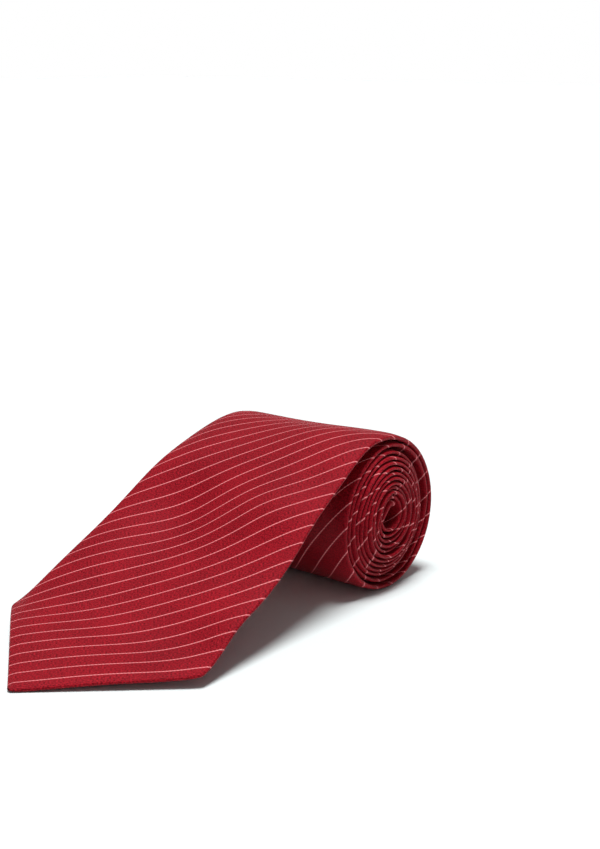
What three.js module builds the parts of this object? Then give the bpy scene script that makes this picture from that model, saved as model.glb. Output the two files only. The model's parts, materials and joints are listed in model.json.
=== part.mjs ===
// A pinstriped necktie, loosely rolled up from its narrow tail, with the wide blade running
// down from the crown of the roll to the surface that the tie lies on.
//
// The tie is one long flat strip. Its route is worked out once, as a row of ribs from the tip
// of the blade to the end of the tail, and every shell, lining, thread and label is a section
// carried along a stretch of those ribs. Units are millimetres and +Z is up. X runs along the
// blade, with its tip at -X, and Y runs along the axis of the roll.
import * as THREE from 'three';
import { mergeVertices } from 'three/addons/utils/BufferGeometryUtils.js';

// The cloth, from the good side inwards.
const SHELL_THICKNESS = 0.22;
const LAYER_GAP = 0.12;
const INTERLINING_THICKNESS = 0.5;
const TIE_THICKNESS = 2 * (SHELL_THICKNESS + LAYER_GAP) + INTERLINING_THICKNESS;

// The width of the finished tie along its length.
const BLADE_WIDTH = 90;
const CROWN_WIDTH = 75.2;
const NECK_WIDTH = 34;
const TAIL_WIDTH = 48;
const POINT_WIDTH = 4;
const BLADE_POINT_LENGTH = 41;
const TAIL_POINT_LENGTH = 22;
const NECK_START = 700;
const NECK_END = 1000;

// The roll.
const ROLL_RADIUS = 27.75;
const TURNS = 12.5;
const FACETS_PER_TURN = 16;
const TIGHT_PITCH = 1.72;
const FLOOR_TURN = 0.55;
const FIRST_STEP = 1.25;
const SLACK_STEP = 0.8;
const SLACK_FROM = 1.6;
const SLACK_TO = 2.3;
const EDGE_STEP_PER_TURN = 0.75;
const EDGE_STEP_TURNS = 5;

// How far the turns sink off the axis of the outermost one, and drift as they close in.
const SINK_X = 1.05;
const SINK_X_FROM = 0.9;
const SINK_Z = 0.6;
const SINK_Z_TO = 1.6;
const DRIFT_FROM = 2;
const DRIFT_X_PER_TURN = 0.12;
const DRIFT_Z_PER_TURN = 0.15;

// The top of the blade from its tip up to the crown, as distance from the roll axis and height.
const BLADE_TOP = [
  [-148.1, TIE_THICKNESS],
  [-107.6, 4.7],
  [-86.7, 15],
  [-65.8, 26.1],
  [-44.9, 40],
  [-24, 51.1],
  [-11, 54.8],
  [0, 2 * ROLL_RADIUS],
];
const BLADE_RIB_SPACING = 12;

// The two flaps on the back meet along the middle, and part near each point.
const SEAM_HALF_GAP = 0.45;
const HEM_WIDTH = 14;
const BLADE_SEAM_START = 92;
const TAIL_SEAM_LENGTH = 62;

// Places along the tie, measured from the tip of the blade.
const JOINT_GAP = 0.3;
const BLADE_NECK_SEAM = 640;
const NECK_TAIL_SEAM = 985;
const SEAM_ALLOWANCE = 0.45;
const SEAM_THREAD_WIDTH = 0.3;
const SEAM_THREAD_INSET = 1;
const SEAM_THREAD_SKIN = 0.02;
const BLADE_LINING_START = 4;
const TAIL_LINING_INSET = 3;
const BLADE_TIPPING_START = 18;
const BLADE_TIPPING_CLEARANCE = 5;
const TAIL_TIPPING_INSET = 12;
const TAIL_TIPPING_CLEARANCE = 4;
const BAR_TACK_LENGTH = 5;
const LABEL_START = 97;
const LABEL_LENGTH = 12;
const LABEL_HALF_WIDTH = 24;
const KEEPER_START = 115;
const KEEPER_LENGTH = 9;
const KEEPER_HALF_WIDTH = 19;
const KEEPER_RISE = 0.9;
const KEEPER_FOOT = 2;
const KEEPER_SLOPE = 2;
const CARE_LABEL_START = 129;
const CARE_LABEL_LENGTH = 16;
const CARE_LABEL_HALF_WIDTH = 8;
const SPARE_LOOP_ALONG = 88;
const SPARE_LOOP_REACH = 4;
const SPARE_LOOP_THREAD = 0.2;
const SPARE_LOOP_SIDES = 4;
const SPARE_LOOP_STEPS = 12;
const FACE_GAP = 0.3;
const TRIM_THICKNESS = 0.3;
const STITCH_WIDTH = 0.5;
const STITCH_INSET = 1;
const MERGE_DISTANCE = 1e-4;

const materials = {
  satin: { color: 0x8e1226, roughness: 0.45, metalness: 0 },
  lining: { color: 0x6a0f1e, roughness: 0.35, metalness: 0 },
  interlining: { color: 0xe6e0d2, roughness: 0.95, metalness: 0 },
  thread: { color: 0x7a1020, roughness: 0.6, metalness: 0 },
  label: { color: 0xe9e4d8, roughness: 0.5, metalness: 0 },
};

function smoothStep(low, high, value) {
  const t = THREE.MathUtils.clamp((value - low) / (high - low), 0, 1);
  return t * t * (3 - 2 * t);
}

// How far a turn of the roll has closed in. The first half turn lies on the floor at the full
// radius, the second turn is a little slack, and the rest are tight.
function windingDrop(turn) {
  if (turn <= FLOOR_TURN) {
    return 0;
  }
  const tight = TIGHT_PITCH * (turn - FLOOR_TURN);
  const first = FIRST_STEP * smoothStep(FLOOR_TURN, 1, turn);
  const slack = SLACK_STEP * smoothStep(SLACK_FROM, SLACK_TO, turn);
  return tight + first + slack;
}

// The tight inner turns have sunk away from the slack outer ones, and drift as they close in.
function windingCentre(turn) {
  const inner = Math.max(0, turn - DRIFT_FROM);
  const sunkX = SINK_X * smoothStep(SINK_X_FROM, DRIFT_FROM, turn);
  const sunkZ = SINK_Z * smoothStep(1, SINK_Z_TO, turn);
  return {
    x: -sunkX - DRIFT_X_PER_TURN * inner,
    z: ROLL_RADIUS - sunkZ + DRIFT_Z_PER_TURN * inner,
  };
}

// Both faces of the strip at one corner of the faceted roll. A corner stands a little outside
// the round roll, so that the middles of the facets lie on it.
function windingFaces(turn) {
  const angle = 2 * Math.PI * turn;
  const centre = windingCentre(turn);
  const corner = (radius) => {
    const reach = radius / Math.cos(Math.PI / FACETS_PER_TURN);
    return new THREE.Vector2(centre.x + reach * Math.sin(angle), centre.z + reach * Math.cos(angle));
  };
  const radius = ROLL_RADIUS - windingDrop(turn);
  return { good: corner(radius), back: corner(radius - TIE_THICKNESS) };
}

function bladeRibs() {
  const curve = new THREE.SplineCurve(BLADE_TOP.map(([x, z]) => new THREE.Vector2(x, z)));
  const count = Math.round(curve.getLength() / BLADE_RIB_SPACING);
  const ribs = [];
  for (let i = 0; i <= count; i += 1) {
    const good = curve.getPointAt(i / count);
    const tangent = i === count ? new THREE.Vector2(1, 0) : curve.getTangentAt(i / count);
    const down = new THREE.Vector2(tangent.y, -tangent.x);
    if (i === 0) {
      down.set(0, -1);
    }
    const back = good.clone().addScaledVector(down, TIE_THICKNESS);
    ribs.push({ good, back, turn: 0 });
  }
  return ribs;
}

function rollRibs() {
  const ribs = [];
  for (let corner = 0.5; corner < TURNS * FACETS_PER_TURN; corner += 1) {
    const turn = corner / FACETS_PER_TURN;
    ribs.push({ ...windingFaces(turn), turn });
  }
  return ribs;
}

// Every rib of the tie with its distance from the tip of the blade.
const bladeStretch = bladeRibs();
const ribs = [...bladeStretch, ...rollRibs()];
ribs[0].along = 0;
for (let i = 1; i < ribs.length; i += 1) {
  ribs[i].along = ribs[i - 1].along + ribs[i].good.distanceTo(ribs[i - 1].good);
}
const crownAlong = ribs[bladeStretch.length - 1].along;
const tieLength = ribs[ribs.length - 1].along;

// The width of the strip without the taper of its two points.
function bodyWidth(along) {
  const stops = [
    [BLADE_POINT_LENGTH, BLADE_WIDTH],
    [crownAlong, CROWN_WIDTH],
    [NECK_START, NECK_WIDTH],
    [NECK_END, NECK_WIDTH],
    [tieLength - TAIL_POINT_LENGTH, TAIL_WIDTH],
  ];
  if (along <= stops[0][0]) {
    return BLADE_WIDTH;
  }
  for (let i = 1; i < stops.length; i += 1) {
    if (along <= stops[i][0]) {
      const [[fromAlong, fromWidth], [toAlong, toWidth]] = [stops[i - 1], stops[i]];
      return THREE.MathUtils.mapLinear(along, fromAlong, toAlong, fromWidth, toWidth);
    }
  }
  return TAIL_WIDTH;
}

function halfWidth(along) {
  const toBladePoint = THREE.MathUtils.clamp(along / BLADE_POINT_LENGTH, 0, 1);
  const toTailPoint = THREE.MathUtils.clamp((tieLength - along) / TAIL_POINT_LENGTH, 0, 1);
  const taper = Math.min(toBladePoint, toTailPoint);
  return THREE.MathUtils.lerp(POINT_WIDTH, bodyWidth(along), taper) / 2;
}

// Half the opening between the two flaps on the back, which widens to show the tipping.
function seamHalfGap(along) {
  const hemEdge = halfWidth(along) - HEM_WIDTH;
  const fromBladePoint = THREE.MathUtils.mapLinear(along, BLADE_POINT_LENGTH, BLADE_SEAM_START, 1, 0);
  const fromTailPoint = THREE.MathUtils.mapLinear(
    tieLength - along, TAIL_POINT_LENGTH, TAIL_SEAM_LENGTH, 1, 0);
  const parting = THREE.MathUtils.clamp(Math.max(fromBladePoint, fromTailPoint), 0, 1);
  return Math.max(SEAM_HALF_GAP, hemEdge * parting);
}

// The middle of the strip. The turns line up near their -Y edges, and step outwards a little.
function middleOffset(along, turn) {
  if (along <= crownAlong) {
    return 0;
  }
  const nearEdge = -CROWN_WIDTH / 2 - EDGE_STEP_PER_TURN * Math.min(turn, EDGE_STEP_TURNS);
  return nearEdge + bodyWidth(along) / 2;
}

function ribAt(along) {
  let after = 1;
  while (after < ribs.length - 1 && ribs[after].along < along) {
    after += 1;
  }
  const [low, high] = [ribs[after - 1], ribs[after]];
  const t = (along - low.along) / (high.along - low.along);
  return {
    along,
    turn: THREE.MathUtils.lerp(low.turn, high.turn, t),
    good: low.good.clone().lerp(high.good, t),
    back: low.back.clone().lerp(high.back, t),
  };
}

// The ribs of one stretch, with one more wherever the width or the seam changes its taper.
function ribsBetween(start, end) {
  const bends = [
    BLADE_POINT_LENGTH, BLADE_SEAM_START, tieLength - TAIL_SEAM_LENGTH, tieLength - TAIL_POINT_LENGTH,
  ];
  const inside = [...ribs, ...bends.map(ribAt)]
    .filter((rib) => rib.along > start + JOINT_GAP && rib.along < end - JOINT_GAP)
    .sort((a, b) => a.along - b.along);
  return [ribAt(start), ...inside, ribAt(end)];
}

// Sections are drawn across the strip, x from its middle and y as depth below the good side.
// On a section that follows the strip, the outer points keep their distance from the folded
// edge, whose place is SECTION_EDGE, and the inner points keep theirs from the edge of the
// flap, whose place is SECTION_SEAM.
const SECTION_EDGE = 10;
const SECTION_SEAM = 1;

function acrossFollowing(x, along) {
  const side = Math.sign(x);
  if (Math.abs(x) > SECTION_EDGE / 2) {
    return side * (halfWidth(along) - (SECTION_EDGE - Math.abs(x)));
  }
  return side * (seamHalfGap(along) + Math.abs(x) - SECTION_SEAM);
}

function outline(points) {
  return new THREE.Shape(points.map(([x, depth]) => new THREE.Vector2(x, depth)));
}

function rectangle(left, right, shallow, deep) {
  return outline([[left, shallow], [right, shallow], [right, deep], [left, deep]]);
}

// A folded shell: the good side, a fold at each edge, and two flaps with the seam between.
function shellSection() {
  const innerEdge = SECTION_EDGE - SHELL_THICKNESS;
  const flapTop = TIE_THICKNESS - SHELL_THICKNESS;
  return outline([
    [-SECTION_SEAM, TIE_THICKNESS],
    [-SECTION_EDGE, TIE_THICKNESS],
    [-SECTION_EDGE, 0],
    [SECTION_EDGE, 0],
    [SECTION_EDGE, TIE_THICKNESS],
    [SECTION_SEAM, TIE_THICKNESS],
    [SECTION_SEAM, flapTop],
    [innerEdge, flapTop],
    [innerEdge, SHELL_THICKNESS],
    [-innerEdge, SHELL_THICKNESS],
    [-innerEdge, flapTop],
    [-SECTION_SEAM, flapTop],
  ]);
}

function interliningSection() {
  const edge = SECTION_EDGE - SHELL_THICKNESS - LAYER_GAP;
  const top = SHELL_THICKNESS + LAYER_GAP;
  return rectangle(-edge, edge, top, top + INTERLINING_THICKNESS);
}

// What lies between the two flaps: the tipping where they part, and the seam's thread.
function betweenFlapsSection() {
  const edge = SECTION_SEAM - FACE_GAP;
  return rectangle(-edge, edge, TIE_THICKNESS - SHELL_THICKNESS, TIE_THICKNESS);
}

function seamThreadSection() {
  const edge = SECTION_EDGE - SEAM_THREAD_INSET;
  return rectangle(-edge, edge, SEAM_THREAD_SKIN, SHELL_THICKNESS - SEAM_THREAD_SKIN);
}

function trimSection(left, right) {
  const top = TIE_THICKNESS + FACE_GAP;
  return rectangle(left, right, top, top + TRIM_THICKNESS);
}

// The keeper loop lies on its two feet and stands clear of the back between them.
function keeperSection() {
  const foot = TIE_THICKNESS + FACE_GAP;
  const outer = KEEPER_HALF_WIDTH - KEEPER_FOOT;
  const inner = outer - KEEPER_SLOPE;
  const thickness = 2 * TRIM_THICKNESS;
  return outline([
    [-KEEPER_HALF_WIDTH, foot],
    [-outer, foot],
    [-inner, foot + KEEPER_RISE],
    [inner, foot + KEEPER_RISE],
    [outer, foot],
    [KEEPER_HALF_WIDTH, foot],
    [KEEPER_HALF_WIDTH, foot + thickness],
    [outer, foot + thickness],
    [inner, foot + KEEPER_RISE + thickness],
    [-inner, foot + KEEPER_RISE + thickness],
    [-outer, foot + thickness],
    [-KEEPER_HALF_WIDTH, foot + thickness],
  ]);
}

// Carries a section along the ribs between two places on the tie. The section is extruded
// straight, one step per rib, and each step is then laid on its rib.
function strip(name, material, section, start, end, followsWidth = true) {
  const stretch = ribsBetween(start, end);
  const steps = stretch.length - 1;
  const straight = new THREE.ExtrudeGeometry(section, { depth: steps, steps, bevelEnabled: false });
  straight.deleteAttribute('normal');
  straight.deleteAttribute('uv');
  const geometry = mergeVertices(straight, MERGE_DISTANCE);
  const position = geometry.getAttribute('position');
  for (let i = 0; i < position.count; i += 1) {
    const rib = stretch[Math.round(position.getZ(i))];
    const x = position.getX(i);
    const across = followsWidth ? acrossFollowing(x, rib.along) : x;
    const point = rib.good.clone().lerp(rib.back, position.getY(i) / TIE_THICKNESS);
    position.setXYZ(i, point.x, middleOffset(rib.along, rib.turn) + across, point.y);
  }
  faceOutwards(geometry);
  geometry.computeVertexNormals();
  return named(name, material, geometry);
}

// Turns a closed geometry's triangles round if they point inwards.
function faceOutwards(geometry) {
  const position = geometry.getAttribute('position');
  const index = geometry.getIndex();
  const [a, b, c] = [new THREE.Vector3(), new THREE.Vector3(), new THREE.Vector3()];
  let volume = 0;
  for (let i = 0; i < index.count; i += 3) {
    a.fromBufferAttribute(position, index.getX(i));
    b.fromBufferAttribute(position, index.getX(i + 1));
    c.fromBufferAttribute(position, index.getX(i + 2));
    volume += a.dot(b.cross(c));
  }
  if (volume > 0) {
    return;
  }
  for (let i = 0; i < index.count; i += 3) {
    const second = index.getX(i + 1);
    index.setX(i + 1, index.getX(i + 2));
    index.setX(i + 2, second);
  }
}

function named(name, material, geometry) {
  const mesh = new THREE.Mesh(geometry, new THREE.MeshStandardMaterial(materials[material]));
  mesh.name = name;
  return mesh;
}

// The free blade, from its tip to the crown of the roll.
function freeBlade() {
  const end = crownAlong - JOINT_GAP / 2;
  const tippingEnd = BLADE_SEAM_START - BLADE_TIPPING_CLEARANCE;
  const tackEnd = BLADE_SEAM_START + BAR_TACK_LENGTH;
  const group = new THREE.Group();
  group.add(
    strip('blade_shell', 'satin', shellSection(), 0, end),
    strip('blade_interlining', 'interlining', interliningSection(), BLADE_LINING_START, end),
    strip('blade_tipping', 'lining', betweenFlapsSection(), BLADE_TIPPING_START, tippingEnd),
    strip('blade_bar_tack', 'thread', betweenFlapsSection(), BLADE_SEAM_START, tackEnd),
    strip('slip_stitch_blade', 'thread', betweenFlapsSection(), tackEnd + FACE_GAP, end),
    spareLoop(),
  );
  return group;
}

// A flat label and its two end stitches, or the keeper loop and its two end stitches.
function trimWithStitches(name, stitchName, section, reach, start, length, material) {
  const group = new THREE.Group();
  const end = start + length;
  group.add(strip(name, material, section, start, end, false));
  const inner = reach + FACE_GAP;
  const sides = { left: [-inner - STITCH_WIDTH, -inner], right: [inner, inner + STITCH_WIDTH] };
  for (const [side, [left, right]] of Object.entries(sides)) {
    const stitch = trimSection(left, right);
    const node = `${stitchName}_${side}`;
    group.add(strip(node, 'thread', stitch, start + STITCH_INSET, end - STITCH_INSET, false));
  }
  return group;
}

function bladeTrim() {
  const label = trimSection(-LABEL_HALF_WIDTH, LABEL_HALF_WIDTH);
  const careLabel = trimSection(-CARE_LABEL_HALF_WIDTH, CARE_LABEL_HALF_WIDTH);
  const careEnd = CARE_LABEL_START + CARE_LABEL_LENGTH;
  const keeper = keeperSection();
  const group = new THREE.Group();
  group.add(
    trimWithStitches(
      'blank_label', 'label_stitch', label, LABEL_HALF_WIDTH, LABEL_START, LABEL_LENGTH, 'label',
    ),
    trimWithStitches(
      'keeper_loop', 'keeper_stitch', keeper, KEEPER_HALF_WIDTH, KEEPER_START, KEEPER_LENGTH, 'satin',
    ),
    strip('care_label', 'label', careLabel, CARE_LABEL_START, careEnd, false),
  );
  return group;
}

// The rolled part: three lengths of shell, joined by seams, around one long interlining.
function rolledShells() {
  const start = crownAlong + JOINT_GAP / 2;
  const neckStart = BLADE_NECK_SEAM + SEAM_ALLOWANCE;
  const neckEnd = NECK_TAIL_SEAM - SEAM_ALLOWANCE;
  const group = new THREE.Group();
  group.add(
    strip('blade_shell_wound', 'satin', shellSection(), start, BLADE_NECK_SEAM - SEAM_ALLOWANCE),
    strip('neck_shell', 'satin', shellSection(), neckStart, neckEnd),
    strip('tail_shell', 'satin', shellSection(), NECK_TAIL_SEAM + SEAM_ALLOWANCE, tieLength),
    strip('interlining_wound', 'interlining', interliningSection(), start, tieLength - TAIL_LINING_INSET),
  );
  const seams = { blade_neck_seam: BLADE_NECK_SEAM, neck_tail_seam: NECK_TAIL_SEAM };
  for (const [name, along] of Object.entries(seams)) {
    const half = SEAM_THREAD_WIDTH / 2;
    group.add(strip(name, 'thread', seamThreadSection(), along - half, along + half));
  }
  return group;
}

function rolledThreads() {
  const start = crownAlong + JOINT_GAP / 2;
  const tackEnd = tieLength - TAIL_SEAM_LENGTH;
  const tackStart = tackEnd - BAR_TACK_LENGTH;
  const tippingStart = tackEnd + TAIL_TIPPING_CLEARANCE;
  const tippingEnd = tieLength - TAIL_TIPPING_INSET;
  const group = new THREE.Group();
  group.add(
    strip('slip_stitch_wound', 'thread', betweenFlapsSection(), start, tackStart - FACE_GAP),
    strip('tail_bar_tack', 'thread', betweenFlapsSection(), tackStart, tackEnd),
    strip('tail_tipping', 'lining', betweenFlapsSection(), tippingStart, tippingEnd),
  );
  return group;
}

// The slip stitch ends in a small slack loop of spare thread, which lies on the back of the
// blade beside its bar tack.
function spareLoop() {
  const rib = ribAt(SPARE_LOOP_ALONG);
  const outwards = rib.back.clone().sub(rib.good).normalize();
  const geometry = new THREE.TorusGeometry(1, SPARE_LOOP_THREAD, SPARE_LOOP_SIDES, SPARE_LOOP_STEPS);
  geometry.scale(SPARE_LOOP_REACH, 1, 1);
  geometry.rotateY(Math.atan2(outwards.x, outwards.y));
  const rest = rib.back.clone().addScaledVector(outwards, SPARE_LOOP_THREAD + FACE_GAP);
  const mesh = named('slip_stitch_spare_loop', 'thread', geometry);
  mesh.position.set(rest.x, 0, rest.y);
  return mesh;
}

// The finished tie stands with its origin under the middle of its box.
const necktie = new THREE.Group();
necktie.add(freeBlade(), bladeTrim(), rolledShells(), rolledThreads());
necktie.updateMatrixWorld(true);
const box = new THREE.Box3().setFromObject(necktie, true);
const centre = box.getCenter(new THREE.Vector3());
necktie.position.set(-centre.x, -centre.y, -box.min.z);

export default necktie;
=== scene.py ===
"""A pinstriped satin necktie, rolled up from its tail with its blade lying out, around the CAD frame.

Every cloth piece is laid on one route, which starts at the tip of the blade, climbs to the crown of
the roll and winds inwards. A place on a piece is given as its distance along the tie from the tip,
its distance across from the middle, and its depth below the good side. Lengths in this script are
millimetres, and the finished meshes are metres.
"""

import json
import math

import bmesh
import bpy
import numpy as np
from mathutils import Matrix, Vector


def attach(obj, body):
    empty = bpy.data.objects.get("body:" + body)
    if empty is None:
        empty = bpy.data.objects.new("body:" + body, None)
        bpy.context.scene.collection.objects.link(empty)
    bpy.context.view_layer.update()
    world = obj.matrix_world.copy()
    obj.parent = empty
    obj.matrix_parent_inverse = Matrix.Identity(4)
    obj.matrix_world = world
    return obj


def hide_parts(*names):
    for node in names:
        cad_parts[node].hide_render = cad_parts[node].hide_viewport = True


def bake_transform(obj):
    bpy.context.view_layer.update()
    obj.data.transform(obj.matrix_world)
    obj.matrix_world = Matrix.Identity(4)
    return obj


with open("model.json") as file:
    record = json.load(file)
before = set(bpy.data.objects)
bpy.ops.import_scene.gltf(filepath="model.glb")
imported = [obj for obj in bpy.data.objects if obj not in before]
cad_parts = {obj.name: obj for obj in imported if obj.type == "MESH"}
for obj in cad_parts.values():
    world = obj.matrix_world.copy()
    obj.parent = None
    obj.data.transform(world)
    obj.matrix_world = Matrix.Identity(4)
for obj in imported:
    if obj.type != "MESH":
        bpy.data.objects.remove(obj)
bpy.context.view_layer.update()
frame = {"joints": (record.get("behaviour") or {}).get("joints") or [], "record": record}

MM = 0.001
hinge = frame["joints"][0]
ROLL_X = hinge["pos_m"][0] / MM
ROLL_RADIUS = hinge["pos_m"][2] / MM / 2

# The roll. Turns are counted inwards from the crown. Each pair of turns is where a change starts
# and ends, and each shift of the roll's centre is across and up.
TURNS = 11.7
KNOTS_PER_TURN = 40
FLOOR_TURN = 0.55
TIGHT_PITCH = 1.72
FIRST_STEP = 1.5
SLACK_STEP = 0.75
LOOSE_TURNS = (1.7, 2.2)
LOOSE_SHIFT = (-1.5, 0.2)
LOOSE_SQUEEZE = 0.035
BACK_TURNS = (0.7, 1.5)
BACK_SHIFT = -0.3
SAG_TURNS = (1, 1.6)
SAG_SHIFT = -0.4
DRIFT_PER_TURN = (-0.14, 0.2)

# How far the near edge of each turn stands out past the crown's, and how unevenly.
EDGE_TURNS = [0, 0.25, 0.75, 1.25, 1.75, 2.25, 2.75, 6.25]
EDGE_STEPS = [0, 0.5, 0.7, 0, 0.7, 0.4, 1.3, 3.8]
EDGE_WAVES = [(0.4, 21, 0), (0.28, 8.7, 1), (0.14, 4.1, 2)]

# The lift of the turns under the crown, towards the near edge.
CROWN_LIFT = 2
CROWN_LIFT_FADE = 5
CROWN_LIFT_TURNS = 0.13
CROWN_LIFT_SIDE = -26
CROWN_LIFT_WIDTH = 34

# How far the tight turns are from round, and their ripples.
TIGHT_TURNS = (2, 4)
OVAL = 0.35
LOBES = 0.22
RIPPLE = 0.04

# The tail's last stretch, which crosses the eye of the roll, from the roll's axis.
TAIL_END = [
    (-8.9, 0.7), (-7.9, 2.4), (-6.5, 4.2), (-5, 6), (-3.6, 7.2), (-2.1, 7.4), (-0.5, 6.9),
    (0.9, 5.8), (1.7, 4.2), (2, 2.4), (1.9, 0.6), (1.3, -1.1), (0.2, -2.4), (-1.4, -3.1),
    (-3.1, -3.3), (-4.7, -2.9), (-5.7, -1.8), (-5.9, -0.3), (-5.3, 1.1), (-4.3, 2.5), (-2.9, 3.3),
    (-1.5, 2.8), (-0.9, 1.4), (-1.4, 0), (-2.8, -0.7), (-3.8, 0.3), (-3.2, 1.4),
]
# The tail slips back into the eye and swells where it turns, between these distances from its end.
TAIL_TUCK = 10
TUCK_FROM_END = (33, 20)
TAIL_SWELL = 0.9
SWELL_START_FROM_END = (48, 40)
SWELL_STOP_FROM_END = (24, 32)

# The top of the blade, as distance from the roll's axis and height.
BLADE_TOP = [
    (-148.1, 1.3), (-127, 2.3), (-107.6, 4.9), (-86.7, 15), (-65.8, 26.1),
    (-44.9, 40), (-24, 51.1), (-11, 54.6),
]

# Where the blade swells or dips: along, across, reach along, reach across, height.
SWELLS = [
    (33, 13, 23, 45, 4),
    (89, 34, 48, 17, 2.6),
    (102, 17, 16, 18, -3.5),
    (109, -22, 13, 16, 2.5),
    (150, -26, 16, 34, 3.6),
    (137, 41, 20, 9, -2),
    (60, -46, 12, 16, 1.8),
    (42, 47, 12, 12, -1),
    (172, -36, 18, 22, 1.1),
]

# Widths of the finished tie.
BLADE_WIDTH = 90
CROWN_WIDTH = 75.2
NECK_WIDTH = 34
TAIL_WIDTH = 48
BLADE_POINT_LENGTH = 40.5
TAIL_POINT_LENGTH = 22
NECK_START = 700
NECK_END = 1000
SHOULDER_SOFTNESS = 1
BLADE_POINT_ROUNDING = 1.6
BLADE_POINT_BLUNTNESS = 0.4
TAIL_POINT_BLUNTNESS = 1

# The cloth, and the tie it makes when it is folded.
CLOTH = 0.26
BLADE_THICKNESS = 2
ROLL_THICKNESS = 1.5
THINNING_TURNS = (0.1, 2.2)
TIP_THINNING = 0.45
TIP_THINNING_REACH = 1.5
FOLD_REACH = 0.95
EDGE_ROLL = 0.4
EDGE_ROLL_WIDTH = 5
HEM_WIDTH = 14
MITRE_GAP = 0.15
FLAP_OVERLAP = 3
UNDER_FLAP_REACH = 6
BLADE_SEAM_START = 92
TAIL_SEAM_LENGTH = 62
BLADE_NECK_SEAM = 640
NECK_TAIL_SEAM = 985
SEAM_GAP = 0.1
FLAP_COLUMNS = 10
FOLD_COLUMNS = 8
FRONT_COLUMNS = 40

# How far the cloth has slipped on the bias near the tip and the crown. Each side is as wide as
# SLIP_HALF, and each pair of distances along the tie is where a slip starts or fades.
SLIP_HALF = 41
TIP_SLIP = (0.64, -2.34)
TIP_SLIP_FADES = (98, 62)
CROWN_SLIP = 1.7
CROWN_SLIP_STARTS = (120, 155)
CROWN_SLIP_FADES = (260, 180)

# The layers inside it.
INTERLINING = 0.45
LINING_INSET = 1.6
LINING_DEPTH = CLOTH + 0.06 + INTERLINING / 2 + EDGE_ROLL * 0.2
TIPPING = 0.12
TIPPING_INSET = 2.2
TIPPING_UNDER_HEM = 6

# The trim on its back: each piece's start and end along the tie, and half of its width.
LABEL = (97, 109)
KEEPER = (115, 124)
CARE_LABEL = (129, 145)
LABEL_HALF = 24
KEEPER_HALF = 19
CARE_LABEL_HALF = 8
LABEL_CLOTH = 0.22
KEEPER_CLOTH = 0.2
THREAD = 0.13
SEAM_THREAD = 0.08
SEAM_THREAD_DEPTH = CLOTH * 0.62

# The pinstripe.
STRIPE_SPACING = 5.62
STRIPE_START = 2.7
STRIPE_EDGE = (0.105, 0.27)
STRIPE_WANDER = 0.3
TWIST_LENGTH = 1.25
ROLL_STRETCH = 0.8
BIAS = math.radians(45)
DEEP_RED = (0.11, 0.001, 0.004, 1)
BRIGHT_RED = (0.385, 0.009, 0.019, 1)
STRIPE_PINK = (0.92, 0.28, 0.3, 1)

# The weaves' pitches, and the colours of the other cloths from darkest to lightest.
FLOAT_PITCH = 0.27
FLOAT_LENGTH = 1.1
CROSS_PITCH = 0.31
LINING_PITCH = 0.4
LABEL_PITCH = 0.28
LABEL_LINE_INSET = 1.6
LINING_REDS = ((0.1, 0.005, 0.012, 1), (0.19, 0.012, 0.024, 1))
INTERLINING_CREAMS = ((0.6, 0.55, 0.46, 1), (0.86, 0.82, 0.74, 1))
THREAD_REDS = ((0.11, 0.006, 0.014, 1), (0.3, 0.018, 0.035, 1))
LABEL_CREAMS = ((0.72, 0.68, 0.58, 1), (0.9, 0.87, 0.79, 1))
LABEL_LINE_RED = (0.3, 0.02, 0.04, 1)
FLOOR_GREY = (0.74, 0.8, 0.8, 1)

# The key light and the camera. The camera's target is from the roll's axis.
KEY_FROM = (-0.04, -0.05, 1.0)
KEY_STRENGTH = 3.7
KEY_ANGLE = math.radians(22)
SURROUND = {"From Min": 0.03, "From Max": 0.07, "To Min": 1.0, "To Max": 0.23}
FLOOR_REACH = 6
CAMERA_AZIMUTH = math.radians(-50.926)
CAMERA_ELEVATION = math.radians(14.523)
CAMERA_DISTANCE = 550.7
CAMERA_TARGET = (-5.0, 0, 57.0)
CAMERA_LENS = 62.65


# --- The route -----------------------------------------------------------------------------

def smooth_step(low, high, value):
    t = np.clip((value - low) / (high - low), 0, 1)
    return t * t * (3 - 2 * t)


def winding(turn):
    """Points on the good side of the wound tie, from the roll's axis across and from the floor up."""
    loose = smooth_step(*LOOSE_TURNS, turn)
    drop = TIGHT_PITCH * np.maximum(turn - FLOOR_TURN, 0)
    drop = drop + FIRST_STEP * smooth_step(FLOOR_TURN, 1, turn) + SLACK_STEP * loose
    radius = ROLL_RADIUS - drop
    inner = np.maximum(turn - 2, 0)
    back = BACK_SHIFT * smooth_step(*BACK_TURNS, turn)
    sag = SAG_SHIFT * smooth_step(*SAG_TURNS, turn)
    centre_x = back + LOOSE_SHIFT[0] * loose + DRIFT_PER_TURN[0] * inner
    centre_z = ROLL_RADIUS + sag + LOOSE_SHIFT[1] * loose + DRIFT_PER_TURN[1] * inner
    angle = 2 * np.pi * turn
    radius_x = radius * (1 - LOOSE_SQUEEZE * loose)
    return np.stack([centre_x + radius_x * np.sin(angle), centre_z + radius * np.cos(angle)], -1)


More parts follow.
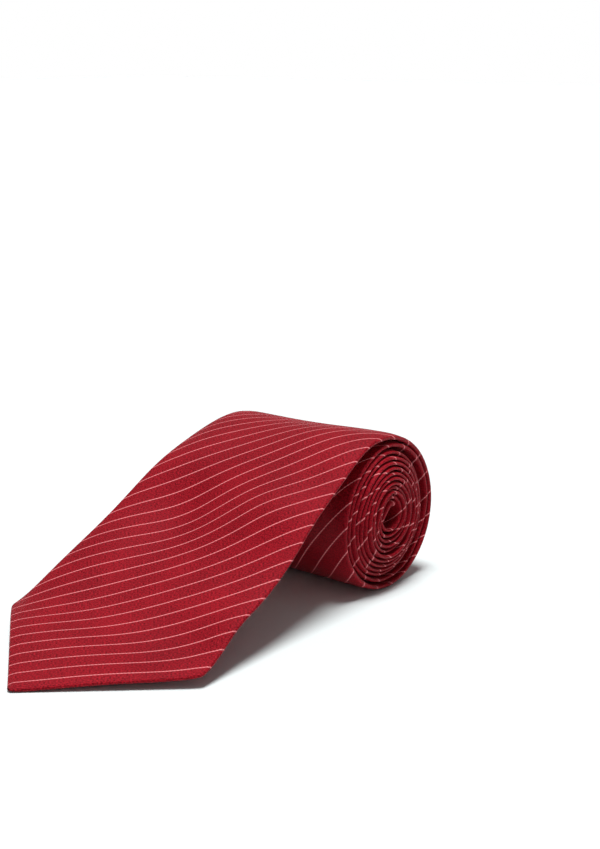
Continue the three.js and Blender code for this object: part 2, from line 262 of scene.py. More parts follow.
def spline_through(knots, spacing):
    """A smooth curve through knots: its points, about spacing apart, and each one's place among the
    knots."""
    chords = np.concatenate([[0], np.cumsum(np.hypot(*np.diff(knots, axis=0).T))])
    count = len(knots)
    before, after = np.diff(chords)[:-1], np.diff(chords)[1:]
    matrix, right = np.eye(count), np.zeros((count, 2))
    inside = np.arange(1, count - 1)
    matrix[inside, inside - 1] = before
    matrix[inside, inside] = 2 * (before + after)
    matrix[inside, inside + 1] = after
    slopes = np.diff(knots, axis=0) / np.diff(chords)[:, None]
    right[1:-1] = 6 * np.diff(slopes, axis=0)
    bend = np.linalg.solve(matrix, right)
    at = np.linspace(0, chords[-1], int(chords[-1] / spacing) + 1)
    span = np.clip(np.searchsorted(chords, at, side="right") - 1, 0, count - 2)
    step = np.diff(chords)[span][:, None]
    t = (at - chords[span])[:, None] / step
    straight = knots[span] * (1 - t) + knots[span + 1] * t
    curved = ((1 - t) ** 3 - (1 - t)) * bend[span] + (t ** 3 - t) * bend[span + 1]
    return straight + curved * step ** 2 / 6, span + t[:, 0]


def route():
    """The good side of the tie from tip to tail: distances along it, points, outward normals, turns
    wound, and where its crown is."""
    turns = np.arange(0, TURNS + 0.01, 1 / KNOTS_PER_TURN)
    tail_end = np.array(TAIL_END) + [0, ROLL_RADIUS]
    line, knot = spline_through(np.concatenate([BLADE_TOP, winding(turns), tail_end]), 0.1)
    along = np.concatenate([[0], np.cumsum(np.hypot(*np.diff(line, axis=0).T))])
    turn = np.maximum(knot - len(BLADE_TOP), 0) / KNOTS_PER_TURN
    crown = float(np.interp(len(BLADE_TOP), knot, along))
    even = np.arange(0, along[-1], 0.25)
    points = np.stack([np.interp(even, along, line[:, k]) for k in range(2)], -1)
    tangent = np.gradient(points, axis=0)
    tangent /= np.hypot(*tangent.T)[:, None]
    outward = np.stack([-tangent[:, 1], tangent[:, 0]], -1)
    return even, points, outward, np.interp(even, along, turn), crown


ALONG, GOOD_SIDE, OUTWARD, TURN, CROWN = route()
TIE_LENGTH = float(ALONG[-1])


def body_width(along):
    """The width of the finished tie, without the taper of its two points."""
    return np.interp(
        along,
        [BLADE_POINT_LENGTH, CROWN, NECK_START, NECK_END, TIE_LENGTH - TAIL_POINT_LENGTH],
        [BLADE_WIDTH, CROWN_WIDTH, NECK_WIDTH, NECK_WIDTH, TAIL_WIDTH],
    )


def softer_minimum(a, b, softness):
    """The smaller of two lengths, with the corner between them rounded off."""
    return (a + b - np.sqrt((a - b) ** 2 + softness ** 2)) / 2


def half_width(along):
    """Half the width of the finished tie, down to its points."""
    blade_slope = BLADE_WIDTH / 2 / BLADE_POINT_LENGTH
    tail_slope = TAIL_WIDTH / 2 / TAIL_POINT_LENGTH
    rounding = BLADE_POINT_ROUNDING * np.maximum(along, 0) + BLADE_POINT_BLUNTNESS
    blade_point = np.sqrt((blade_slope * along) ** 2 + rounding)
    tail_point = tail_slope * np.maximum(TIE_LENGTH - along, 0) + TAIL_POINT_BLUNTNESS
    before_tail = softer_minimum(body_width(along) / 2, blade_point, SHOULDER_SOFTNESS)
    return softer_minimum(before_tail, tail_point, SHOULDER_SOFTNESS)


def edge_angle(along):
    """The angle between the folded edge and the length of the tie."""
    return np.arctan((half_width(along + 0.25) - half_width(along - 0.25)) / 0.5)


def thickness(along):
    """How thick the folded tie is."""
    turn = np.interp(along, ALONG, TURN)
    full = BLADE_THICKNESS + (ROLL_THICKNESS - BLADE_THICKNESS) * smooth_step(*THINNING_TURNS, turn)
    from_end = TIE_LENGTH - along
    swell = smooth_step(*SWELL_START_FROM_END, from_end) * smooth_step(*SWELL_STOP_FROM_END, from_end)
    full = full + TAIL_SWELL * swell
    return full * (1 - TIP_THINNING * np.exp(-along / TIP_THINNING_REACH))


def middle(along):
    """How far the middle of the strip lies from the middle of the blade, along the roll's axis."""
    turn = np.interp(along, ALONG, TURN)
    near_edge = -CROWN_WIDTH / 2 - np.interp(turn, EDGE_TURNS, EDGE_STEPS)
    uneven = sum(height * np.sin(along / length + start) for height, length, start in EDGE_WAVES)
    wound = near_edge + body_width(along) / 2 + uneven * smooth_step(0.1, 1.2, turn)
    tucked = TAIL_TUCK * smooth_step(*TUCK_FROM_END, TIE_LENGTH - along)
    return np.where(along <= CROWN, 0, wound + tucked)


def lie(along, across):
    """How far the tie stands off its route: the swells and dips of the blade, the lift of the turns
    under the crown, and the uneven winding further in."""
    level = 0.0
    for centre, side, reach_along, reach_across, height in SWELLS:
        from_centre = ((along - centre) / reach_along) ** 2 + ((across - side) / reach_across) ** 2
        level = level + height * np.exp(-from_centre)
    turn = np.interp(along, ALONG, TURN)
    from_top = (turn - np.round(turn)) / CROWN_LIFT_TURNS
    from_side = (across - CROWN_LIFT_SIDE) / CROWN_LIFT_WIDTH
    lifted = CROWN_LIFT * (turn > 0.5) * np.exp(-((turn - 0.8) / CROWN_LIFT_FADE) ** 2)
    level = level + lifted * np.exp(-from_top ** 2 - from_side ** 2)
    wound = smooth_step(*TIGHT_TURNS, turn) * smooth_step(TURNS, TURNS - 1, turn)
    angle = 2 * np.pi * turn
    level = level + wound * (OVAL * np.sin(2 * angle + 0.6) + LOBES * np.sin(3 * angle + 2.2))
    return level + wound * RIPPLE * (np.sin(along / 9.3) + np.sin(along / 5.1 + 1))


def place(along, across, depth):
    """Points in space, in millimetres, of places on the tie."""
    along, across, depth = np.broadcast_arrays(along, across, depth)
    level = lie(along, across) - depth
    x = np.interp(along, ALONG, GOOD_SIDE[:, 0]) + level * np.interp(along, ALONG, OUTWARD[:, 0])
    z = np.interp(along, ALONG, GOOD_SIDE[:, 1]) + level * np.interp(along, ALONG, OUTWARD[:, 1])
    return np.stack([x + ROLL_X, middle(along) + across, z], -1)


# --- Meshes --------------------------------------------------------------------------------

def smooth_piece(name, mesh):
    """Puts a mesh in the scene, shaded smooth except over sharp edges."""
    mesh.polygons.foreach_set("use_smooth", [True] * len(mesh.polygons))
    mesh.set_sharp_from_angle(angle=math.radians(50))
    piece = bpy.data.objects.new(name, mesh)
    bpy.context.scene.collection.objects.link(piece)
    return piece


def sheet_mesh(name, points, cloth_map, cloth):
    """A sheet of cloth of even thickness around a grid of points on its middle surface."""
    rows, columns = points.shape[:2]
    down, over = np.gradient(points, axis=0), np.gradient(points, axis=1)
    normal = np.cross(down, over)
    normal /= np.maximum(np.linalg.norm(normal, axis=-1, keepdims=True), 1e-9)
    skins = np.concatenate([points + normal * cloth / 2, points - normal * cloth / 2]).reshape(-1, 3)
    index = np.arange(rows * columns).reshape(rows, columns)
    a, b, c, d = index[:-1, :-1], index[1:, :-1], index[1:, 1:], index[:-1, 1:]
    outer = np.stack([a, b, c, d], -1).reshape(-1, 4)
    inner = outer[:, ::-1] + rows * columns
    rim = np.concatenate([index[:, 0], index[-1, 1:], index[-2::-1, -1], index[0, -2:0:-1]])
    after = np.roll(rim, -1)
    border = np.stack([after, rim, rim + rows * columns, after + rows * columns], -1)
    mesh = bpy.data.meshes.new(name)
    mesh.from_pydata((skins * MM).tolist(), [], np.concatenate([outer, inner, border]).tolist())
    corners = np.zeros(len(mesh.loops), np.int32)
    mesh.loops.foreach_get("vertex_index", corners)
    uv = np.concatenate([cloth_map, cloth_map]).reshape(-1, 2)[corners] * MM
    mesh.uv_layers.new(name="cloth").data.foreach_set("uv", uv.astype(np.float32).ravel())
    return smooth_piece(name, mesh)


def threads_object(name, lines, radius, sides=8):
    """Several lengths of round thread as one piece."""
    curve = bpy.data.curves.new(name, "CURVE")
    curve.dimensions = "3D"
    curve.bevel_depth = radius * MM
    curve.bevel_resolution = sides // 2 - 2
    curve.use_fill_caps = True
    for line in lines:
        spline = curve.splines.new("POLY")
        spline.points.add(len(line) - 1)
        spline.points.foreach_set("co", np.column_stack([line * MM, np.ones(len(line))]).ravel())
    bevelled = bpy.data.objects.new(name, curve)
    bpy.context.scene.collection.objects.link(bevelled)
    mesh = bpy.data.meshes.new_from_object(bevelled.evaluated_get(bpy.context.evaluated_depsgraph_get()))
    bpy.data.objects.remove(bevelled)
    bpy.data.curves.remove(curve)
    shape = bmesh.new()
    shape.from_mesh(mesh)
    bmesh.ops.remove_doubles(shape, verts=shape.verts, dist=1e-7)
    bmesh.ops.recalc_face_normals(shape, faces=shape.faces)
    shape.to_mesh(mesh)
    shape.free()
    mesh.name = name
    return smooth_piece(name, mesh)


def rows_between(start, end, step, fine_at=(), fine_step=0.3, fine_reach=4):
    """Places along the tie from start to end, closer together near the places in fine_at."""
    places = [start]
    while places[-1] < end:
        near = any(abs(places[-1] - p) < fine_reach for p in fine_at)
        places.append(places[-1] + (fine_step if near else step))
    places = np.array(places)
    return (start + (places - start) * (end - start) / (places[-1] - start))[:, None]


# --- Cloth pieces --------------------------------------------------------------------------

def flap_edges(along):
    """Where the two flaps on the back end: the under flap's edge and the over flap's."""
    at_point = np.maximum(half_width(along) - HEM_WIDTH, MITRE_GAP)
    parting = np.maximum(
        1 - smooth_step(BLADE_POINT_LENGTH + 4, BLADE_SEAM_START, along),
        1 - smooth_step(TAIL_POINT_LENGTH, TAIL_SEAM_LENGTH, TIE_LENGTH - along),
    )
    near_point = (along < BLADE_POINT_LENGTH) | (along > TIE_LENGTH - TAIL_POINT_LENGTH)
    over = np.where(near_point, at_point, at_point * parting - FLAP_OVERLAP * (1 - parting))
    under = np.where(near_point, at_point, at_point * parting - UNDER_FLAP_REACH * (1 - parting))
    return under, over


def shell_section(along):
    """The folded shell's middle surface across each row: distance across, depth, and the cloth's
    own coordinates once it is unfolded flat."""
    total, half = thickness(along), half_width(along)
    slant = np.cos(edge_angle(along))
    reach = np.minimum(FOLD_REACH / slant, half * 0.6)
    flat = half - reach
    roll_width = np.minimum(EDGE_ROLL_WIDTH, half * 0.5)
    front = flat * np.linspace(-1, 1, FRONT_COLUMNS)
    rolled = np.clip((np.abs(front) - (flat - roll_width)) / roll_width, 0, 1) ** 2
    sink = EDGE_ROLL * total / BLADE_THICKNESS
    front_depth = CLOTH / 2 + sink * rolled
    back_level = total - CLOTH / 2
    fold_top = CLOTH / 2 + sink
    angles = np.linspace(-np.pi / 2, np.pi / 2, FOLD_COLUMNS + 2)[1:-1]
    fold = flat + (reach - CLOTH / 2) * np.cos(angles)
    fold_depth = (fold_top + back_level) / 2 + (back_level - fold_top) / 2 * np.sin(angles)
    under_edge, over_edge = flap_edges(along)
    shares = np.linspace(0, 1, FLAP_COLUMNS)
    over = flat + (over_edge - flat) * shares
    under = -(flat + (under_edge - flat) * shares)
    tucked = smooth_step(-10, -6, under) * (over_edge < 0)
    under_depth = back_level - (CLOTH + 0.02) * tucked
    across = np.concatenate([under[:, ::-1], -fold[:, ::-1], front, fold, over], 1)
    depth = np.concatenate([
        under_depth[:, ::-1], fold_depth[:, ::-1], front_depth, fold_depth,
        np.broadcast_to(back_level, over.shape)], 1)
    return across, depth, unfolded(along, across, depth)


def slip(along, across):
    """How far the cloth has slipped along the tie near its tip and its crown."""
    side = np.clip(across / SLIP_HALF, -1.1, 1.1)
    at_tip = (TIP_SLIP[0] * side ** 2 + TIP_SLIP[1] * side) * smooth_step(*TIP_SLIP_FADES, along)
    there = smooth_step(*CROWN_SLIP_STARTS, along) * smooth_step(*CROWN_SLIP_FADES, along)
    at_crown = CROWN_SLIP * np.minimum(side, 0) * there
    return (at_tip + at_crown) / math.sin(BIAS)


def unfolded(along, across, depth):
    """Cloth coordinates: along the tie and across it, measured round the folds on the flat cloth."""
    steps = np.hypot(np.diff(across, axis=1), np.diff(depth, axis=1))
    round_it = np.concatenate([np.zeros((len(across), 1)), np.cumsum(steps, 1)], 1)
    left_apex = FLAP_COLUMNS + FOLD_COLUMNS // 2
    right_apex = FLAP_COLUMNS + FOLD_COLUMNS + FRONT_COLUMNS + FOLD_COLUMNS // 2
    centre = (round_it[:, left_apex:left_apex + 1] + round_it[:, right_apex:right_apex + 1]) / 2
    from_middle = round_it - centre
    apex = (round_it[:, right_apex:right_apex + 1] - round_it[:, left_apex:left_apex + 1]) / 2
    past = np.maximum(np.abs(from_middle) - apex, 0)
    angle = edge_angle(along)
    cloth_across = np.sign(from_middle) * (np.abs(from_middle) - past + past * np.cos(2 * angle))
    shortened = (1 - ROLL_STRETCH) * np.maximum(along - CROWN, 0)
    cloth_along = along - past * np.sin(2 * angle) - shortened + slip(along, cloth_across)
    return np.stack([cloth_along, cloth_across], -1)


def shell(name, start, end, step, fine_at=()):
    """One length of the folded shell."""
    along = rows_between(start, end, step, fine_at)
    across, depth, cloth_map = shell_section(along)
    return sheet_mesh(name, place(along, across, depth), cloth_map, CLOTH)


def flat_strip(name, start, end, half, depth, cloth, step=1.5, columns=16):
    """A flat layer inside the tie or on its back. Its half width and depth may follow the tie's."""
    along = rows_between(start, end, step)
    reach = half(along) if callable(half) else half
    across = reach * np.linspace(-1, 1, columns)
    level = depth(along) if callable(depth) else depth
    cloth_map = np.stack(np.broadcast_arrays(along, across), -1)
    return sheet_mesh(name, place(along, across, level), cloth_map, cloth)


def lining_half_width(along):
    """Half the width of the interlining, which stops inside the folds."""
    return half_width(along) - LINING_INSET


def tipping_half_width(along):
    """Half the width of a tipping, whose edges lie under the hems."""
    hem_edge = flap_edges(along)[1]
    return np.maximum(np.minimum(half_width(along) - TIPPING_INSET, hem_edge + TIPPING_UNDER_HEM), 0.4)


def tipping_depth(along):
    return thickness(along) - CLOTH - TIPPING


def label_depth(along):
    return thickness(along) + 0.2


# Where each length of shell starts and ends, its rows' spacing, and where its rows are finer.
SPLIT = CROWN + 1.5
shell_cuts = {
    "blade_shell": (0, SPLIT, 0.8, (2, SPLIT)),
    "blade_shell_wound": (SPLIT, BLADE_NECK_SEAM - SEAM_GAP, 1.25, (SPLIT,)),
    "neck_shell": (BLADE_NECK_SEAM + SEAM_GAP, NECK_TAIL_SEAM - SEAM_GAP, 1.25, ()),
    "tail_shell": (NECK_TAIL_SEAM + SEAM_GAP, TIE_LENGTH, 1, ()),
}
shells = {name: shell(name, *cut) for name, cut in shell_cuts.items()}

# The inner layers: start, end, half width, depth, cloth, rows' spacing and columns.
LINING_FROM_TIP = 5
LINING_END = TIE_LENGTH - 4
BLADE_LINED_FROM = 9
BLADE_LINED_TO = BLADE_SEAM_START - 2
TAIL_LINED_FROM = TIE_LENGTH - TAIL_SEAM_LENGTH + 4
TAIL_LINED_TO = TIE_LENGTH - 10
layer_cuts = {
    "blade_interlining": (LINING_FROM_TIP, SPLIT, lining_half_width, LINING_DEPTH, INTERLINING, 1.5, 16),
    "interlining_wound": (SPLIT, LINING_END, lining_half_width, LINING_DEPTH, INTERLINING, 1.5, 10),
    "blade_tipping": (BLADE_LINED_FROM, BLADE_LINED_TO, tipping_half_width, tipping_depth, TIPPING, 1.5, 16),
    "tail_tipping": (TAIL_LINED_FROM, TAIL_LINED_TO, tipping_half_width, tipping_depth, TIPPING, 0.8, 16),
}
layers = {name: flat_strip(name, *cut) for name, cut in layer_cuts.items()}


# --- Trim on the back of the blade ---------------------------------------------------------

labels = {
    "blank_label": flat_strip("blank_label", *LABEL, LABEL_HALF, label_depth, LABEL_CLOTH, 1, 30),
    "care_label": flat_strip("care_label", *CARE_LABEL, CARE_LABEL_HALF, label_depth, LABEL_CLOTH, 1),
}


def keeper_loop():
    """A strip of the shell's cloth folded into a flat tube, sewn down at its two ends over the seam."""
    start, end = KEEPER
    reach = (end - start) / 2
    across = np.linspace(-KEEPER_HALF, KEEPER_HALF, 60)[None, :]
    angles = np.linspace(0.42, 2 * np.pi + 0.36, 44)[:, None]
    lapped = 0.16 * smooth_step(2 * np.pi - 0.3, 2 * np.pi + 0.2, angles)
    girth = np.sign(np.cos(angles)) * np.abs(np.cos(angles)) ** 0.35 * (reach - lapped)
    swell = np.sign(np.sin(angles)) * np.abs(np.sin(angles)) ** 0.8 * 0.36
    from_end = KEEPER_HALF - np.abs(across)
    rise = 0.8 * smooth_step(1, 6, from_end)
    pinch = 0.62 + 0.38 * smooth_step(0, 2.5, from_end)
    depth = thickness(start) + 0.45 + rise + (swell - lapped) * pinch
    steps = np.hypot(np.diff(girth, axis=0), np.diff(swell, axis=0))
    round_it = np.concatenate([[[0]], np.cumsum(steps, 0)])
    cloth_map = np.stack(np.broadcast_arrays(across, round_it), -1)
    points = place((start + end) / 2 - girth, across + np.zeros_like(girth), depth)
    return sheet_mesh("keeper_loop", points, cloth_map, KEEPER_CLOTH)


keeper = keeper_loop()


def staple(along_from, along_to, across_from, across_to, level):
    """One stitch: a short bridge of thread whose two ends go into the cloth."""
    t = np.linspace(0, 1, 7)
    along = along_from + (along_to - along_from) * t
    across = across_from + (across_to - across_from) * t
    depth = level + 0.16 * np.sin(np.pi * t) - 0.12
    return place(along, across, depth)


def end_stitches(name, span, reach, level, count=5):
    """A short column of stitches over one end of a label or of the keeper loop."""
    places = np.linspace(span[0] + 1, span[1] - 1, count)
    inner, outer = (reach - 0.7, reach + 0.5) if reach > 0 else (reach + 0.7, reach - 0.5)
    return threads_object(name, [staple(p, p + 0.4, inner, outer, level) for p in places], THREAD)


def slip_stitches(name, start, end, spacing=6):
    """The long thread of the slip stitch, which shows as one slanting stitch after another."""
    seam = -FLAP_OVERLAP
    along = np.arange(start, end, spacing / 8)
    beat = 2 * np.pi * (along - start) / spacing
    across = seam - 0.5 * np.cos(beat) - 0.1
    depth = thickness(along) - 0.1 + 0.13 * np.cos(beat)
    return threads_object(name, [place(along, across, depth)], THREAD * 0.8, sides=6)


def bar_tack(name, centre, across_centre, length=7, count=12):
    """A dense bar of satin stitches across the end of the seam."""
    level = thickness(centre) + 0.12
    offsets = np.linspace(-length / 2, length / 2, count)
    across = across_centre + offsets
    stitches = [staple(centre - 0.9, centre + 0.9, side, side + 0.25, level) for side in across]
    return threads_object(name, stitches, THREAD * 1.5)


def spare_loop():
    """The loop of spare thread that hangs from the bar tack."""
    t = np.linspace(0, 1, 40)
    along = BLADE_SEAM_START - 8.5 * np.sin(np.pi * t)
    across = -1.5 + 2.6 * np.sin(2 * np.pi * t) * (1 - 0.4 * t) + 1.5 * t
    depth = thickness(along) + 0.3 + 0.12 * np.sin(3 * np.pi * t)
    return threads_object("slip_stitch_spare_loop", [place(along, across, depth)], THREAD)


def seam_thread(name, along):
    """The thread of the seam that joins two lengths of shell, which runs along its crease."""
    across = np.linspace(-1, 1, 60) * (half_width(along) - 1.2)
    wave = along + 0.05 * np.sin(np.arange(60) * np.pi / 2)
    return threads_object(name, [place(wave, across, SEAM_THREAD_DEPTH)], SEAM_THREAD, sides=6)


LABEL_LEVEL = float(thickness(LABEL[0])) + 0.42
KEEPER_LEVEL = float(thickness(KEEPER[0])) + 0.85
TAIL_SEAM = TIE_LENGTH - TAIL_SEAM_LENGTH
threads = {
    "slip_stitch_blade": slip_stitches("slip_stitch_blade", BLADE_SEAM_START + 2, SPLIT - 0.2),
    "slip_stitch_wound": slip_stitches("slip_stitch_wound", SPLIT + 0.2, TAIL_SEAM - 2),
    "slip_stitch_spare_loop": spare_loop(),
    "blade_bar_tack": bar_tack("blade_bar_tack", BLADE_SEAM_START + 1, -0.5),
    "tail_bar_tack": bar_tack("tail_bar_tack", TAIL_SEAM, 0, length=5, count=8),
    "label_stitch_left": end_stitches("label_stitch_left", LABEL, -LABEL_HALF, LABEL_LEVEL),
    "label_stitch_right": end_stitches("label_stitch_right", LABEL, LABEL_HALF, LABEL_LEVEL),
    "keeper_stitch_left": end_stitches("keeper_stitch_left", KEEPER, -KEEPER_HALF, KEEPER_LEVEL),
    "keeper_stitch_right": end_stitches("keeper_stitch_right", KEEPER, KEEPER_HALF, KEEPER_LEVEL),
    "blade_neck_seam": seam_thread("blade_neck_seam", BLADE_NECK_SEAM),
    "neck_tail_seam": seam_thread("neck_tail_seam", NECK_TAIL_SEAM),
}


# --- Finishes ------------------------------------------------------------------------------

class Reading:
    """A number at each point of a surface. Arithmetic on readings adds Math nodes."""

    def __init__(self, finish, socket):
        self.finish = finish
        self.socket = socket

    def math(self, operation, *others):
        values = [self, *others]
        node = self.finish.node("ShaderNodeMath", {"operation": operation}, dict(enumerate(values)))
        return Reading(self.finish, node.outputs[0])

    def __add__(self, other):
        return self.math("ADD", other)

    def __radd__(self, other):
        return self.math("ADD", other)

    def __sub__(self, other):
        return self.math("SUBTRACT", other)

    def __rsub__(self, other):
        return (self * -1).math("ADD", other)

    def __mul__(self, other):
        return self.math("MULTIPLY", other)

    def __rmul__(self, other):
        return self.math("MULTIPLY", other)

    def __truediv__(self, other):
        return self.math("DIVIDE", other)

    def sine(self):
        return self.math("SINE")

    def fraction(self):
        return self.math("FRACT")

    def size(self):
        return self.math("ABSOLUTE")

    def between(self, low, high, to_low=0.0, to_high=1.0):
        values = {"Value": self, "From Min": low, "From Max": high, "To Min": to_low, "To Max": to_high}
        node = self.finish.node("ShaderNodeMapRange", {"interpolation_type": "SMOOTHSTEP"}, values)
        return Reading(self.finish, node.outputs["Result"])


class Finish:
    """A material whose nodes are made one after another."""

    def __init__(self, name):
        self.material = bpy.data.materials.new(name)
        self.material.use_nodes = True
        self.tree = self.material.node_tree
        self.tree.nodes.clear()
        self.shader = self.node("ShaderNodeBsdfPrincipled")
        self.node("ShaderNodeOutputMaterial", {}, {"Surface": self.shader.outputs[0]})

    def node(self, kind, settings=None, values=None):
        made = self.tree.nodes.new(kind)
        for setting, value in (settings or {}).items():
            setattr(made, setting, value)
        for socket, value in (values or {}).items():
            self.join(made.inputs[socket], value)
        return made

    def join(self, socket, value):
        if isinstance(value, Reading):
            value = value.socket
        if isinstance(value, bpy.types.NodeSocket):
            self.tree.links.new(value, socket)
        else:
            socket.default_value = value

    def cloth_place(self):
        """Distances along and across the flat cloth, in millimetres."""
        uv = self.node("ShaderNodeUVMap", {"uv_map": "cloth"})
        parts = self.node("ShaderNodeSeparateXYZ", {}, {0: uv.outputs[0]})
        return Reading(self, parts.outputs[0]) / MM, Reading(self, parts.outputs[1]) / MM

    def object_place(self):
        coordinates = self.node("ShaderNodeTexCoord")
        return coordinates.outputs["Object"]

    def noise(self, scale, detail=2.0, place=None):
        values = {"Vector": place or self.object_place(), "Scale": scale, "Detail": detail}
        return Reading(self, self.node("ShaderNodeTexNoise", {}, values).outputs[0])

    def mixed(self, factor, low, high):
        values = {0: factor, 6: low, 7: high}
        return self.node("ShaderNodeMix", {"data_type": "RGBA"}, values).outputs[2]

    def bump(self, height, distance, strength=1.0):
        values = {"Height": height, "Distance": distance * MM, "Strength": strength}
        return self.node("ShaderNodeBump", {}, values).outputs[0]

    def set(self, **values):
        for socket, value in values.items():
            self.join(self.shader.inputs[socket.replace("_", " ")], value)
        return self.material


def per(length):
    """What a distance is multiplied by so that its sine repeats at this length."""
    return 2 * math.pi / length


def striped_satin(name):
    """Red satin woven straight, with a twisted pink pinstripe, and cut on the bias."""
    finish = Finish(name)
    along, across = finish.cloth_place()
    wander = (finish.noise(45, 1) - 0.5) * STRIPE_WANDER
    past = along * math.sin(BIAS) + across * math.cos(BIAS) - STRIPE_START + wander
    down = along * math.cos(BIAS) - across * math.sin(BIAS)
    off_line = ((past / STRIPE_SPACING + 0.5).fraction() - 0.5) * STRIPE_SPACING
    twist = (down * per(TWIST_LENGTH) + off_line * 9).sine() * 0.5 + 0.5
    line = 1 - off_line.size().between(*STRIPE_EDGE)
    stripe = line * (twist * 0.5 + 0.5)
    float_rib = (past * per(FLOAT_PITCH) + (down * per(FLOAT_LENGTH)).sine() * 0.8).sine()
    cross_rib = (down * per(CROSS_PITCH) + past * 3.0).sine()
    patchy = finish.noise(60, 3)
    grain = finish.node("ShaderNodeCombineXYZ", {}, {0: past * 0.9, 1: down * 0.4}).outputs[0]
    fleck = finish.noise(3.6, 2, grain)
    tone = patchy * 0.6 + fleck * 3.7 + float_rib * 0.08 - 1.65
    ground = finish.mixed(tone, DEEP_RED, BRIGHT_RED)
    colour = finish.mixed(stripe, ground, STRIPE_PINK)
    height = float_rib * 0.35 + cross_rib * 0.2 + line * (twist * 0.8 + 1.2) + fleck * 0.5
    roughness = 0.44 + stripe * 0.2 + (patchy - 0.5) * 0.12
    return finish.set(
        Base_Color=colour,
        Roughness=roughness,
        Normal=finish.bump(height, 0.05),
        Specular_IOR_Level=0.17,
        Specular_Tint=(1.0, 0.28, 0.34, 1),
        Sheen_Weight=0.04,
        Sheen_Roughness=0.3,
        Sheen_Tint=(1.0, 0.5, 0.55, 1),
    )


def plain_lining(name):
    """Dull red lining cloth in a plain weave."""
    finish = Finish(name)
    along, across = finish.cloth_place()
    rib = (along * per(LINING_PITCH)).sine() * (across * per(LINING_PITCH)).sine()
    tone = finish.noise(80, 3) * 0.7 + rib * 0.12 + 0.12
    colour = finish.mixed(tone, *LINING_REDS)
    return finish.set(
        Base_Color=colour,
        Roughness=0.36 + finish.noise(500) * 0.1,
        Normal=finish.bump(rib, 0.03),
        Sheen_Weight=0.15,
    )


def brushed_interlining(name):
    """Cream interlining with a brushed nap."""
    finish = Finish(name)
    fuzz = finish.noise(1500, 4)
    colour = finish.mixed(fuzz, *INTERLINING_CREAMS)
    return finish.set(Base_Color=colour, Roughness=0.95, Normal=finish.bump(fuzz, 0.3), Sheen_Weight=0.4)


def twisted_thread(name):
    """Dark red sewing thread."""
    finish = Finish(name)
    ply = finish.noise(3500, 2)
    colour = finish.mixed(ply, *THREAD_REDS)
    return finish.set(Base_Color=colour, Roughness=0.55, Normal=finish.bump(ply, 0.05), Sheen_Weight=0.2)


def woven_label(name, half, span, border):
    """A blank label, with a narrow woven line inside its edges where border is 1."""
    finish = Finish(name)
    along, across = finish.cloth_place()
    from_side = half - across.size()
    from_end = (span[1] - span[0]) / 2 - (along - (span[0] + span[1]) / 2).size()
    side_line = 1 - (from_side - LABEL_LINE_INSET).size().between(0.2, 0.35)
    end_line = 1 - (from_end - LABEL_LINE_INSET).size().between(0.2, 0.35)
    inside = from_side.between(1.3, 1.4) * from_end.between(1.3, 1.4)
    outline = side_line.math("MAXIMUM", end_line) * inside * border
    warp = (across * per(LABEL_PITCH)).sine() * 0.5 + (along * per(LABEL_PITCH)).sine() * 0.5
    tone = warp * 0.3 + finish.noise(300) * 0.5 + 0.1
    ground = finish.mixed(tone, *LABEL_CREAMS)
    colour = finish.mixed(outline, ground, LABEL_LINE_RED)
    return finish.set(
        Base_Color=colour,
        Roughness=0.45 + warp * 0.05,
        Normal=finish.bump(warp + outline, 0.04),
        Sheen_Weight=0.2,
    )


satin = striped_satin("striped_satin")
tipping = plain_lining("plain_lining")
interlining = brushed_interlining("brushed_interlining")
thread = twisted_thread("twisted_thread")
border_weave = woven_label("blank_label_weave", LABEL_HALF, LABEL, 1.0)
plain_weave = woven_label("care_label_weave", CARE_LABEL_HALF, CARE_LABEL, 0.0)


# --- Assembly ------------------------------------------------------------------------------

ON_ROLL = set(frame["record"]["behaviour"]["bodies"]["roll"])


def fit(name, piece, material):
    """Gives a piece its finish, hides the CAD node it stands for, and puts it on the roll's body if it
    belongs there.
    """
    piece.data.materials.append(material)
    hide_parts(name)
    if name in ON_ROLL:
        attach(piece, "roll")
        return
    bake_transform(piece)


for name, piece in shells.items():
    fit(name, piece, satin)
fit("keeper_loop", keeper, satin)
for name in ("blade_interlining", "interlining_wound"):
    fit(name, layers[name], interlining)
for name in ("blade_tipping", "tail_tipping"):
    fit(name, layers[name], tipping)
for name, piece in threads.items():
    fit(name, piece, thread)
fit("blank_label", labels["blank_label"], border_weave)
fit("care_label", labels["care_label"], plain_weave)


def declare(piece, start, end, width_at, depth, held):
    """Works out what size a sheet was cut to, from its width at each place and its length at its depth; the
    area is not kept or passed on.
    """
    along = np.linspace(start, end, 1000)
    widths = width_at(along)
    steps = np.linalg.norm(np.diff(place(along, 0, depth), axis=0), axis=1)
    area = float(np.sum((widths[1:] + widths[:-1]) / 2 * steps))


def shell_cut_width(along):
    under, over = flap_edges(along)
    return 4 * half_width(along) - under - over


def lining_cut_width(along):
    return 2 * lining_half_width(along)


def tipping_cut_width(along):
    return 2 * tipping_half_width(along)


for name, (start, end, *_) in shell_cuts.items():
    declare(shells[name], start, end, shell_cut_width, ROLL_THICKNESS / 2, "folded")
for name, width_at, depth, held in (
    ("blade_interlining", lining_cut_width, LINING_DEPTH, "laid"),
    ("interlining_wound", lining_cut_width, LINING_DEPTH, "folded"),
    ("blade_tipping", tipping_cut_width, BLADE_THICKNESS - CLOTH, "laid"),
    ("tail_tipping", tipping_cut_width, ROLL_THICKNESS - CLOTH, "laid"),
):
    declare(layers[name], *layer_cuts[name][:2], width_at, depth, held)


# --- Floor, light and camera ---------------------------------------------------------------

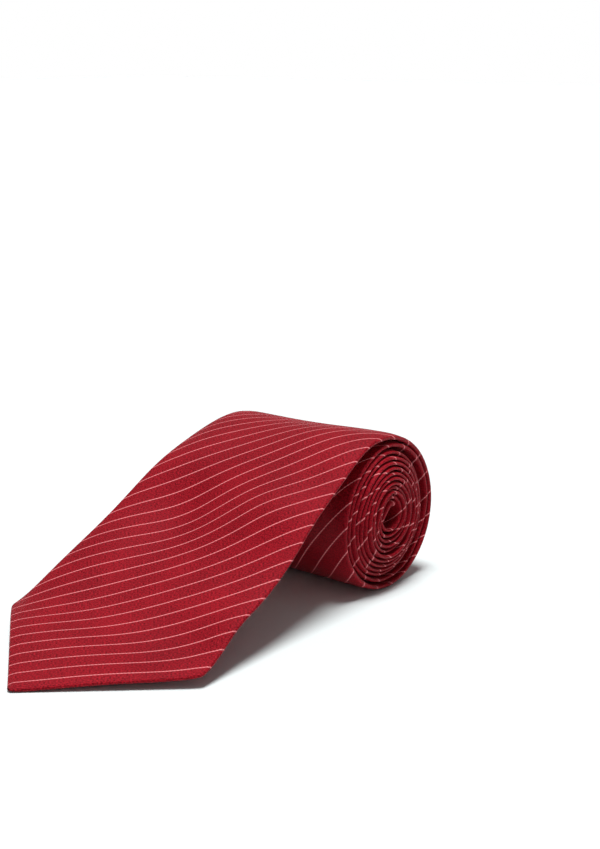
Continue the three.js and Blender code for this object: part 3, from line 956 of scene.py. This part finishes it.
def pale_floor():
    """A wide pale grey floor."""
    mesh = bpy.data.meshes.new("floor")
    shape = bmesh.new()
    bmesh.ops.create_grid(shape, x_segments=1, y_segments=1, size=FLOOR_REACH)
    shape.to_mesh(mesh)
    shape.free()
    floor = bpy.data.objects.new("floor", mesh)
    bpy.context.scene.collection.objects.link(floor)
    finish = Finish("pale_floor")
    mesh.materials.append(finish.set(Base_Color=FLOOR_GREY, Roughness=0.8, Specular_IOR_Level=0.1))


def studio():
    """A soft key from almost straight overhead, and a white surround that dims overhead."""
    world = bpy.data.worlds.new("studio")
    world.use_nodes = True
    nodes, links = world.node_tree.nodes, world.node_tree.links
    direction = nodes.new("ShaderNodeTexCoord")
    height = nodes.new("ShaderNodeSeparateXYZ")
    fade = nodes.new("ShaderNodeMapRange")
    fade.interpolation_type = "SMOOTHSTEP"
    for socket, value in SURROUND.items():
        fade.inputs[socket].default_value = value
    links.new(direction.outputs["Generated"], height.inputs[0])
    links.new(height.outputs["Z"], fade.inputs["Value"])
    links.new(fade.outputs["Result"], nodes["Background"].inputs["Strength"])
    nodes["Background"].inputs["Color"].default_value = (1, 1, 1, 1)
    bpy.context.scene.world = world
    data = bpy.data.lights.new("key", "SUN")
    data.energy = KEY_STRENGTH
    data.angle = KEY_ANGLE
    key = bpy.data.objects.new("key", data)
    key.rotation_euler = Vector(KEY_FROM).to_track_quat("Z", "Y").to_euler()
    bpy.context.scene.collection.objects.link(key)
    bpy.context.scene.view_settings.view_transform = "Standard"


def camera():
    """Looks at the roll's open end and along the blade, from a little above."""
    data = bpy.data.cameras.new("camera")
    data.lens = CAMERA_LENS
    data.clip_start = 0.01
    eye = bpy.data.objects.new("camera", data)
    level = math.cos(CAMERA_ELEVATION)
    away_x = math.sin(CAMERA_AZIMUTH) * level
    away_y = -math.cos(CAMERA_AZIMUTH) * level
    away = Vector((away_x, away_y, math.sin(CAMERA_ELEVATION)))
    target = Vector((CAMERA_TARGET[0] + ROLL_X, CAMERA_TARGET[1], CAMERA_TARGET[2])) * MM
    eye.location = target + away * CAMERA_DISTANCE * MM
    eye.rotation_euler = away.to_track_quat("Z", "Y").to_euler()
    bpy.context.scene.collection.objects.link(eye)
    bpy.context.scene.camera = eye


pale_floor()
studio()
camera()
